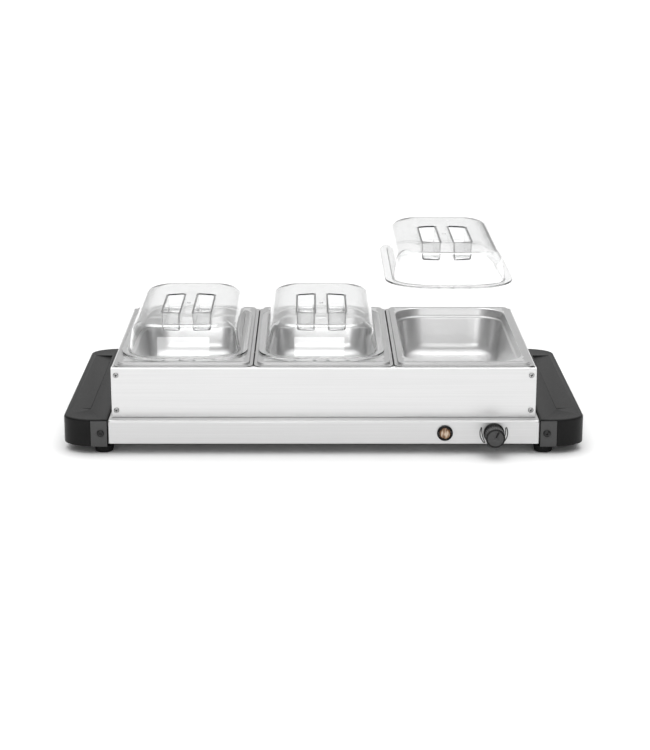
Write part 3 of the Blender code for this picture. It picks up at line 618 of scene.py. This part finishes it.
def arc_mark(name, centre, start_deg, end_deg, look):
    """A printed crescent outline round the knob: two arcs that meet at its tips."""
    bm = bmesh.new()
    steps = 26
    outer, inner = [], []
    for step in range(steps + 1):
        t = step / steps
        angle = math.radians(start_deg + (end_deg - start_deg) * t)
        swell = DIAL_SWELL * math.sin(math.pi * min(1.0, 0.08 + 0.92 * t)) ** 0.7
        outer.append((DIAL_RADIUS, angle))
        inner.append((DIAL_RADIUS - swell, angle))
    for arc in (outer, inner):
        rows = []
        for depth in (0.0, DIAL_THICKNESS):
            for offset in (0.0, DIAL_LINE):
                rows.append([
                    bm.verts.new((
                        centre.x + (r - offset) * math.cos(a),
                        -BASE_SIZE[1] - depth,
                        centre.z + (r - offset) * math.sin(a),
                    ))
                    for r, a in arc
                ])
        low_out, low_in, high_out, high_in = rows
        ring = (low_out, high_out, high_in, low_in)
        for side_a, side_b in zip(ring, ring[1:] + ring[:1]):
            for i in range(len(arc) - 1):
                bm.faces.new((side_a[i], side_a[i + 1], side_b[i + 1], side_b[i]))
        for i in (0, len(arc) - 1):
            bm.faces.new([side[i] for side in ring])
    return stand_for(finish_mesh(name, bm, look), "base", "black_plastic")


def make_dial_marks(look):
    centre = centre_of("control_knob")
    arc_mark("dial_mark_left", centre, 230.0, 154.0, look)
    arc_mark("dial_mark_right", centre, 26.0, -50.0, look)


def handle_plan(side, inset, steps=16):
    inner, outer, end, _, _ = HANDLE
    half_x, half_y = HANDLE_CORNER[0] - inset, HANDLE_CORNER[1] - inset
    inner, outer, end = inner + inset, outer - inset, end - inset
    corner = []
    for step in range(steps + 1):
        angle = math.radians(90.0 * step / steps)
        x = outer - half_x * (1 - math.sin(angle))
        corner.append((x, end - half_y * (1 - math.cos(angle))))
    rear = [(inner, end), *corner]
    front = [(x, -y) for x, y in reversed(rear)]
    return [(side * x, y) for x, y in rear + front]


def make_handle(name, side, look, groove_shadow_look):
    bottom, top = HANDLE[3:]
    profile = soften(
        [Vector((0.0, bottom)), Vector((0.0, top)), Vector((0.0080, top))], [0.0030], 6
    )
    rows = [(0.0030, top - 0.0048), (0.0030, bottom), (0.0012, bottom), (0.0003, bottom + 0.0004)]
    rows += [(0.0, bottom + 0.0014)] + [(v.x, v.y) for v in profile[1:]]
    loops = [[(x, y, z) for x, y in handle_plan(side, inset)] for inset, z in rows]
    handle = capped(f"{name}_end_handle", loops, look, BEND_SHARP_DEG)
    # The groove cutter hands its flat black to the groove faces: painted shadow.
    cutters = [recess_cutter(side, look), groove_cutter(side, groove_shadow_look)]
    for _, toward in ENDS:
        cutters.append(bracket_seat_cutter(side, toward, look))
    even_out(subtract(handle, *cutters))
    return stand_for(handle, "base", "black_plastic", f"{name}_handle")


def recess_cutter(side, look):
    """The thumb recess: deepest along its inner edge, running out sideways and at the front."""
    top = HANDLE[4]
    inner, outer = RECESS_X
    front, rear = RECESS_Y
    deep, hair = RECESS_DEPTH, 0.00001
    plan = [
        (inner, rear, deep), (outer, rear, hair), (outer, front + RECESS_RUN_OUT[1], hair),
        (inner, front, hair), (inner, front + RECESS_RUN_OUT[0], deep),
    ]
    bm = bmesh.new()
    lower = [bm.verts.new((side * x, y, top - depth)) for x, y, depth in plan]
    upper = [bm.verts.new((side * x, y, top + 0.003)) for x, y, _ in plan]
    for i in range(len(plan)):
        j = (i + 1) % len(plan)
        bm.faces.new((lower[i], lower[j], upper[j], upper[i]))
    bm.faces.new(upper)
    bm.faces.new((lower[0], lower[1], lower[2], lower[4]))
    bm.faces.new((lower[2], lower[3], lower[4]))
    bmesh.ops.triangulate(bm, faces=bm.faces)
    return finish_mesh("recess", bm, look)


def groove_cutter(side, look):
    """A narrow groove along the recess's inner edge. Its faces take a flat black that paints the
    shadow in it.
    """
    floor, above = HANDLE[4] - GROOVE_DEPTH, HANDLE[4] + 0.003
    low, high = sorted(side * x for x in GROOVE_X)
    section = [(low, floor), (high, floor), (high, above), (low, above)]
    return prism("groove", section, *GROOVE_Y, "Y", look)


def bracket_seat_cutter(side, toward, look):
    """The step at the handle's end that takes the bracket."""
    near, far, height = toward * 0.1827, toward * 0.20, 0.0428
    section = [(far, 0.0), (near, 0.0), (near, height), (far, height)]
    low, high = sorted((side * 0.2600, side * 0.2923))
    return prism("seat", section, low, high, "X", look)


def make_bracket(name, end, toward, look):
    low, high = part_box(f"{name}_{end}_bracket")
    thickness, leg_end = STRAP
    face = toward * BASE_SIZE[1]
    back = toward * (BASE_SIZE[1] - thickness)
    leg = toward * leg_end
    section = [Vector(p) for p in (
        (leg, low[2]), (face, low[2]), (face, high[2]), (back, high[2]),
        (back, low[2] + thickness), (leg, low[2] + thickness), (leg, low[2]),
    )]
    line = soften(section, [0.0012, 0.0008, 0.0003, 0.0006, 0.0003], 4)[:-1]
    bracket = prism(f"{name}_{end}_strap", [tuple(v) for v in line], low[0], high[0], "X", look)
    bevel_edges(bracket, 0.0004, 60.0)
    return stand_for(bracket, "base", "grey_metal", f"{name}_{end}_bracket")


def phillips_head(name, radius, height, look, recess_shade_look):
    """A domed head on the plane z = 0 with a cross recess and a short shank behind. The recess
    takes a darker look, painted shade.
    """
    head = turned(name, [
        (radius * 0.42, -0.0040), (radius * 0.42, 0.0), (radius * 0.97, 0.0),
        (radius, height * 0.18), (radius * 0.97, height * 0.42), (radius * 0.86, height * 0.70),
        (radius * 0.66, height * 0.91), (radius * 0.40, height),
    ], 36, look)
    cutters = []
    for turn in (0.0, 90.0):
        wide, thin = radius * 0.56, radius * 0.13
        top = [(wide, thin), (-wide, thin), (-wide, -thin), (wide, -thin)]
        loops = [
            [(x * 0.45, y * 0.6, height * 0.1) for x, y in top],
            [(x, y, height * 1.3) for x, y in top],
        ]
        cutter = capped("cross", loops, recess_shade_look)
        cutter.matrix_world = Matrix.Rotation(math.radians(turn), 4, "Z")
        cutters.append(cutter)
    return subtract(head, *cutters)


def make_foot(name, end, look):
    place = centre_of(f"{name}_{end}_foot")
    foot = turned(f"{name}_{end}_foot_pad", [
        (0.0085, 0.0004), (0.0100, 0.0), (0.0109, 0.0003), (0.0113, 0.0012), (0.0122, 0.0066),
        (0.0126, 0.0078), (0.0124, 0.0086), (0.0060, 0.0087),
    ], 40, look)
    foot.location = (place.x, place.y, 0.0)
    return stand_for(foot, "base", "rubber", f"{name}_{end}_foot")


def make_ends(looks):
    for name, side in SIDES:
        make_handle(name, side, looks["black_plastic"], looks["groove_painted_shadow"])
        for end, toward in ENDS:
            make_bracket(name, end, toward, looks["grey_metal"])
            make_foot(name, end, looks["rubber"])
            node_name = f"{name}_{end}_bracket_screw"
            place = centre_of(node_name)
            # The bracket screws' cross recesses take the dark ink colour: painted shade.
            screw = phillips_head(
                f"{node_name}_head", *BRACKET_SCREW, looks["dark_steel"], looks["print_ink_and_recess_shade"]
            )
            front = toward * (BASE_SIZE[1] + SCREW_LIFT)
            facing(screw, toward, place.x, front, place.z, 30.0 * side)
            stand_for(screw, "base", "dark_steel", node_name)


# Controls ----------------------------------------------------------------------------------------

def make_knob(looks):
    place = centre_of("control_knob")
    low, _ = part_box("control_knob")
    length = -BASE_SIZE[1] - low[1]

    def ribs(angle):
        return 0.5 + 0.5 * math.cos(KNOB_RIBS * angle)

    profile = [
        (0.0090, 0.0006), (0.0128, 0.0006), (0.0132, 0.0010), (0.0132, 0.0034), (0.0129, 0.0040),
        (0.0117, 0.0046), (0.0113, 0.0052, 0.035), (0.0113, 0.0060, 0.075),
        (0.0112, length - 0.0036, 0.075), (0.0113, length - 0.0028, 0.04),
        (0.0118, length - 0.0024),
        (0.0121, length - 0.0020), (0.0122, length - 0.0012), (0.0119, length - 0.0003),
        (0.0114, length), (0.0110, length), (0.0107, length - 0.0007), (0.0102, length - 0.0007),
        (0.0099, length - 0.0002), (0.0095, length - 0.0001),
    ]
    knob = turned("knob_cap", profile, 192, looks["gloss_plastic"], ribs, sharp=35.0)
    slot = []
    for step in range(24):
        angle = math.tau * step / 24
        outward = math.sin(angle) > 0
        middle = POINTER_MIDDLE + (POINTER_REACH if outward else -POINTER_REACH)
        narrow = POINTER_ENDS[0] if outward else POINTER_ENDS[1]
        slot.append((narrow * math.cos(angle), middle + narrow * math.sin(angle)))
    levels = (length - POINTER_DEPTH, length + CUT_MARGIN)
    loops = [[(x, y, z) for x, y in slot] for z in levels]
    pointer = capped("pointer", loops, looks["gloss_plastic"])
    pointer.matrix_world = Matrix.Rotation(math.radians(-KNOB_POINTER_DEG), 4, "Z")
    subtract(knob, pointer)
    dress_faces(knob, looks["smooth_plastic"], lambda face: face.center.z > length - 0.0003
                and face.center.xy.length < 0.0100)
    facing(knob, -1, place.x, -BASE_SIZE[1], place.z)
    stand_for(knob, "knob", "black_plastic", "control_knob")


def make_lamp(looks):
    place = centre_of("lamp_bezel")
    bezel = turned("lamp_ring", [
        (0.0076, 0.0003), (0.0098, 0.0003), (0.0100, 0.0008), (0.0099, 0.0019), (0.0093, 0.0028),
        (0.0086, 0.0030), (0.0080, 0.0027), (0.0076, 0.0019),
    ], 56, looks["gloss_plastic"], closed=True)
    facing(bezel, -1, place.x, -BASE_SIZE[1], place.z)
    stand_for(bezel, "base", "black_plastic", "lamp_bezel")

    def prisms(angle):
        return math.cos(16 * angle)

    lens = turned("lamp_dome", [
        (0.0060, 0.0004), (0.0074, 0.0006), (0.0074, 0.0018, 0.004), (0.0068, 0.0027, 0.015),
        (0.0054, 0.0036, 0.025), (0.0036, 0.0042, 0.03), (0.0018, 0.0045, 0.02), (0.0006, 0.0046),
    ], 96, looks["amber_lens"], prisms)
    facing(lens, -1, place.x, -BASE_SIZE[1], place.z)
    stand_for(lens, "base", "amber_lens", "lamp_lens")


def make_gland(looks):
    place = centre_of("cable_gland")

    def hexagon(angle):
        wedge = (angle + math.pi / 6) % (math.pi / 3) - math.pi / 6
        return math.cos(math.pi / 6) / math.cos(wedge) - 1.0

    def flutes(angle):
        return 0.5 * math.cos(16 * angle)

    gland = turned("gland_body", [
        (0.0037, -0.0110), (0.0078, -0.0110), (0.0078, 0.0003), (0.0105, 0.0003, 1.0),
        (0.0105, 0.0052, 1.0), (0.0098, 0.0060, 0.6), (0.0090, 0.0062), (0.0090, 0.0070),
        (0.0094, 0.0072), (0.0096, 0.0078), (0.0096, 0.0090), (0.0037, 0.0090),
    ], 96, looks["smooth_plastic"], hexagon, closed=True)
    facing(gland, 1, place.x, BASE_SIZE[1], place.z)
    stand_for(gland, "base", "black_plastic", "cable_gland")
    dome = turned("gland_dome", [
        (0.0038, 0.0093), (0.0094, 0.0093), (0.0098, 0.0100, 0.05), (0.0096, 0.0150, 0.05),
        (0.0088, 0.0185, 0.04), (0.0074, 0.0222, 0.02), (0.0060, 0.0246), (0.0046, 0.0255),
        (0.0038, 0.0252),
    ], 96, looks["smooth_plastic"], flutes, closed=True)
    facing(dome, 1, place.x, BASE_SIZE[1], place.z)
    stand_for(dome, "base", "black_plastic")


# Lift-off frame ----------------------------------------------------------------------------------

def panel_section(outer, flange, toward):
    """A sheet bent over at the top: outside up, over the bend, back along the flange."""
    bend = 0.0018
    outside = soften([
        Vector((outer, FRAME_BOTTOM)), Vector((outer, FRAME_TOP)),
        Vector((outer - flange, FRAME_TOP)),
    ], [bend], 6)
    inside = soften([
        Vector((outer - flange, FRAME_TOP - SHEET)), Vector((outer - SHEET, FRAME_TOP - SHEET)),
        Vector((outer - SHEET, FRAME_BOTTOM)),
    ], [bend - SHEET * 0.6], 4)
    return [(toward * v.x, v.y) for v in outside + inside]


def make_frame(looks):
    hx, hy = FRAME_SIZE
    for end, toward in ENDS:
        section = panel_section(hy, 0.0110, toward)
        panel = prism(f"{end}_long_panel", section, -hx, hx, "X", looks["brushed_steel"])
        bevel_edges(panel, 0.0003, 70.0)
        stand_for(panel, "pan_frame", "brushed_steel", f"frame_{end}_panel")
    for name, side in SIDES:
        section = panel_section(hx, 0.0085, side)
        inner = hy - SHEET - 0.0003
        panel = prism(f"{name}_short_panel", section, -inner, inner, "Y", looks["brushed_side"])
        stand_for(panel, "pan_frame", "brushed_steel", f"frame_{name}_panel")
        for end, toward in ENDS:
            low, high = sorted((toward * (inner - SHEET), toward * inner))
            near, far, top = side * (hx - 0.0150), side * (hx - SHEET), FRAME_TOP - 0.0020
            section = [(near, FRAME_BOTTOM), (far, FRAME_BOTTOM), (far, top), (near, top)]
            tab_name = f"{name}_{end}_corner_tab"
            tab = prism(tab_name, section, low, high, "Y", looks["brushed_side"])
            stand_for(tab, "pan_frame", "brushed_steel")
    # The panel screws' cross recesses take dark steel: painted shade.
    head = phillips_head("panel_screw", *PANEL_SCREW, looks["zinc_steel"], looks["dark_steel"])
    for name, side in SIDES:
        for end, toward in ENDS:
            for level in ("lower", "upper"):
                node_name = f"{name}_{end}_{level}_screw"
                place = centre_of(node_name)
                screw = bpy.data.objects.new(f"{node_name}_head", head.data)
                bpy.context.scene.collection.objects.link(screw)
                spin = 20.0 + 37.0 * side + (24.0 if level == "upper" else 0.0)
                facing(screw, toward, place.x, toward * (hy + SCREW_LIFT), place.z, spin)
                stand_for(screw, "pan_frame", "zinc_steel", node_name)
    bpy.data.objects.remove(head)


# Pans --------------------------------------------------------------------------------------------

def make_pan(name, look, rim_shade_look):
    """A deep-drawn pan, inside first: floor, walls, stacking shoulder, flange, step and lip."""
    low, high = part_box(f"{name}_pan")
    inner = soften([Vector(row) for row in PAN_INSIDE], PAN_CUTS[0], 8)
    outer = soften([Vector(row) for row in PAN_OUTSIDE], PAN_CUTS[1], 8)
    rows = spread(inner, 0.008) + spread(outer, 0.012)
    pan = lofted(f"{name}_food_pan", [tuple(v) for v in rows], look, SOFT_SHARP_DEG)
    rim_x, rim_y, rim_z = PAN_RIM
    # Rim faces get the darker satin steel: painted shade on the flange and lip.
    dress_faces(pan, rim_shade_look, lambda face: face.center.z > rim_z
                and (abs(face.center.x) > rim_x or abs(face.center.y) > rim_y))
    pan.location = ((low[0] + high[0]) / 2, 0.0, high[2])
    return stand_for(pan, f"{name}_pan", "satin_steel", f"{name}_pan")


# Lids --------------------------------------------------------------------------------------------

def lid_level(name, inset, z):
    half_x, half_y, radius = LID_SHAPE[name]
    return Vector((half_x - inset, half_y - inset, radius - inset, z))


def lid_profile():
    """Rows of the lid's skin: crown, shoulder, wall and rim outside, then back up inside."""
    rim_top, under = 0.0022, LID_HEIGHT - LID_WALL
    corners = [
        lid_level("crown", 0.0, LID_HEIGHT), lid_level("shoulder", 0.0, LID_HEIGHT),
        lid_level("foot", 0.0, rim_top), lid_level("rim", 0.0, rim_top), lid_level("rim", 0.0, 0.0),
        lid_level("foot", LID_WALL, 0.0), lid_level("shoulder", LID_WALL, under),
        lid_level("crown", 0.0002, under),
    ]
    cuts = [(0.0240, 0.0165), 0.0016, 0.0008, 0.0008, 0.0010, (0.0150, 0.0225)]
    return spread(soften(corners, cuts, 10), 0.006)


def pocket_loop(side, inset, z):
    """The pocket's outline: straight sides, gently curved ends and small corner radii."""
    low, high, half = POCKET[0] + inset, POCKET[1] - inset, POCKET[2] - inset
    bend = POCKET_END_BEND
    xs = [low + (high - low) * step / 4 for step in range(5)]
    ends = [half - bend + math.sqrt(bend ** 2 - x ** 2) for x in xs]
    top = [Vector((x, y)) for x, y in zip(xs, ends)]
    bottom = [Vector((v.x, -v.y)) for v in reversed(top)]
    corners = [top[0], top[-1], bottom[0], bottom[-1]]
    radius = max(0.0003, 0.0016 - 0.4 * max(inset, -0.003))
    line = []
    closed = top + bottom
    count = len(closed)
    for i, here in enumerate(closed):
        if here not in corners:
            line.append(here)
            continue
        before, after = closed[i - 1], closed[(i + 1) % count]
        start = here + (before - here).normalized() * radius
        end = here + (after - here).normalized() * radius
        line += turn_at(start, here, end, 4)
    return [(side * v.x, v.y, z) for v in line]


def add_pocket(bm, side, insets):
    """Adds one wall of a pocket with its floor, and returns the vertices of its open end."""
    rows = strip(bm, [pocket_loop(side, inset, z) for inset, z in insets])
    flat_cap(bm, rows[-1])
    return rows[0]


def loop_edges(bm, row):
    edges = []
    for i, vert in enumerate(row):
        following = row[(i + 1) % len(row)]
        edge = bm.edges.get((vert, following)) or bm.edges.new((vert, following))
        edges.append(edge)
    return edges


def fill_with_holes(bm, *rows):
    edges = [edge for row in rows for edge in loop_edges(bm, row)]
    made = bmesh.ops.triangle_fill(bm, edges=edges, use_beauty=True, normal=(0.0, 0.0, 1.0))
    for item in made["geom"]:
        if isinstance(item, bmesh.types.BMFace):
            item.smooth = False


def add_bar(bm, x, y, z):
    """A small rounded bar, part of the lid, from its limits along each axis."""
    hx, hy = (x[1] - x[0]) / 2, (y[1] - y[0]) / 2
    cx, cy = (x[0] + x[1]) / 2, (y[0] + y[1]) / 2
    loops = []
    for inset, level in ((0.0003, z[0]), (0.0, z[0] + 0.0004), (0.0, z[1])):
        outline = rounded(hx - inset, hy - inset, 0.0006, steps=3, side=2)
        loops.append([(cx + a, cy + b, level) for a, b in outline])
    made = strip(bm, loops)
    flat_cap(bm, made[0])
    flat_cap(bm, made[-1])


def make_lid(name, look):
    low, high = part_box(f"{name}_lid")
    x = (low[0] + high[0]) / 2
    rim = high[2] - LID_HEIGHT
    bm = bmesh.new()
    rows = strip(bm, [
        [(a, b, v[3]) for a, b in rounded(v[0], v[1], v[2], bow=0.0030, steps=12, side=8)]
        for v in lid_profile()
    ])
    top, floor = LID_HEIGHT, LID_HEIGHT - POCKET_DEPTH
    under, under_floor = top - LID_WALL, floor - LID_WALL
    upper_open, lower_open = [], []
    for _, side in SIDES:
        upper_open.append(add_pocket(bm, side, [
            (-0.0007, top), (-0.0003, top - 0.0001), (0.0, top - 0.0006), (0.0001, top - 0.0012),
            (0.0007, floor + 0.0042), (0.0011, floor + 0.0020), (0.0022, floor + 0.0007),
            (0.0042, floor),
        ]))
        lower_open.append(add_pocket(bm, side, [
            (-0.0027, under), (-0.0020, under - 0.0003), (-0.0016, under - 0.0010),
            (-0.0015, under - 0.0016), (-0.0009, under_floor + 0.0042),
            (-0.0004, under_floor + 0.0020), (0.0008, under_floor + 0.0006), (0.0032, under_floor),
        ]))
    fill_with_holes(bm, rows[0], *upper_open)
    fill_with_holes(bm, rows[-1], *lower_open)
    for _, side in SIDES:
        for _, toward in ENDS:
            add_bar(bm, sorted(side * v for v in LID_TAB[0]),
                    sorted(toward * v for v in LID_TAB[1]), LID_TAB[2])
    lid = even_out(finish_mesh(f"{name}_clear_lid", bm, look, SOFT_SHARP_DEG))
    lid.location = (x, 0.0, rim)
    return stand_for(lid, f"{name}_lid", "clear_plastic", f"{name}_lid")


def make_lid_mark(name, look):
    """The small moulded ring on the bridge between the pockets."""
    low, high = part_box(f"{name}_lid")
    ring = turned(f"{name}_lid_mark", [
        (0.0014, 0.0), (0.0026, 0.0), (0.0025, 0.0004), (0.0020, 0.0006), (0.0015, 0.0004),
    ], 28, look, closed=True)
    ring.location = ((low[0] + high[0]) / 2, 0.0, high[2] + 0.00005)
    stand_for(ring, f"{name}_lid", "clear_plastic")


# Setting -----------------------------------------------------------------------------------------

def area_light(name, place, size, power):
    data = bpy.data.lights.new(name, "AREA")
    data.shape = "RECTANGLE"
    data.size, data.size_y = size
    data.energy = power
    lamp = bpy.data.objects.new(name, data)
    bpy.context.scene.collection.objects.link(lamp)
    direction = Vector(AIM) - Vector(place)
    lamp.rotation_euler = direction.to_track_quat("-Z", "Y").to_euler()
    lamp.location = place
    return lamp


def make_world():
    """A bright backdrop, a brighter ceiling, dimmer sides and a grey room behind the camera."""
    world = bpy.data.worlds.new("studio")
    world.use_nodes = True
    nodes, links = world.node_tree.nodes, world.node_tree.links
    direction = nodes.new("ShaderNodeTexCoord")
    parts = nodes.new("ShaderNodeSeparateXYZ")
    links.new(direction.outputs["Generated"], parts.inputs["Vector"])

    def ease(source, *limits):
        reach = nodes.new("ShaderNodeMapRange")
        reach.interpolation_type = "SMOOTHSTEP"
        for socket, value in zip(("From Min", "From Max", "To Min", "To Max"), limits):
            reach.inputs[socket].default_value = value
        links.new(source, reach.inputs["Value"])
        return reach.outputs["Result"]

    def combine(operation, first, second=None):
        made = nodes.new("ShaderNodeMath")
        made.operation = operation
        links.new(first, made.inputs[0])
        if second:
            links.new(second, made.inputs[1])
        return made.outputs["Value"]

    depth = ease(parts.outputs["Y"], *DEPTH_LIGHT)
    ceiling = ease(parts.outputs["Z"], *CEILING_LIGHT)
    sides = ease(combine("ABSOLUTE", parts.outputs["X"]), *SIDES_LIGHT)
    total = combine("ADD", combine("MULTIPLY", depth, sides), ceiling)
    links.new(total, nodes["Background"].inputs["Color"])
    return world


def make_setting(looks):
    scene = bpy.context.scene
    bm = bmesh.new()
    bmesh.ops.create_grid(bm, x_segments=24, y_segments=24, size=FLOOR_HALF)
    floor = finish_mesh("studio_floor", bm, looks["floor_white"])
    floor.location = (0.0, 0.0, -0.0002)

    scene.world = make_world()
    sun = bpy.data.lights.new("sky_panel", "SUN")
    sun.energy, sun.angle = SUN_STRENGTH, math.radians(SUN_SPREAD_DEG)
    sky = bpy.data.objects.new("sky_panel", sun)
    scene.collection.objects.link(sky)
    sky.rotation_euler = (math.radians(SUN_TILT_DEG), 0.0, 0.0)
    for name, place, size, power in BOXES:
        area_light(name, place, size, power)

    data = bpy.data.cameras.new("camera")
    data.lens = CAMERA_LENS
    data.sensor_width = 36.0
    data.shift_x = CAMERA_SHIFT
    data.clip_end = 200.0
    camera = bpy.data.objects.new("camera", data)
    scene.collection.objects.link(camera)
    camera.location = CAMERA_PLACE
    camera.rotation_euler = (math.radians(90.0 - CAMERA_PITCH_DEG), 0.0, 0.0)
    scene.camera = camera
    scene.view_settings.view_transform = "Standard"


# Build -------------------------------------------------------------------------------------------

def dress_nodes(looks):
    """Gives each CAD node that stays in view or inside the look of its material slot."""
    slots = {row["node"]: row["material_slot"] for row in frame["record"]["subparts"]}
    for name, obj in frame["nodes"].items():
        for material_slot in obj.material_slots:
            material_slot.material = looks[slots[name]]


def build():
    looks = make_looks()
    dress_nodes(looks)
    make_setting(looks)
    make_base_top(looks["brushed_base_painted_shade"], looks["brushed_ledge_painted_shade"])
    make_dial_marks(looks["print_ink_and_recess_shade"])
    make_ends(looks)
    make_knob(looks)
    make_lamp(looks)
    make_gland(looks)
    make_frame(looks)
    for name in PAN_NAMES:
        make_pan(name, looks["satin_steel"], looks["satin_rim_painted_shade"])
        make_lid(name, looks["clear_plastic"])
        make_lid_mark(name, looks["clear_plastic"])


build()
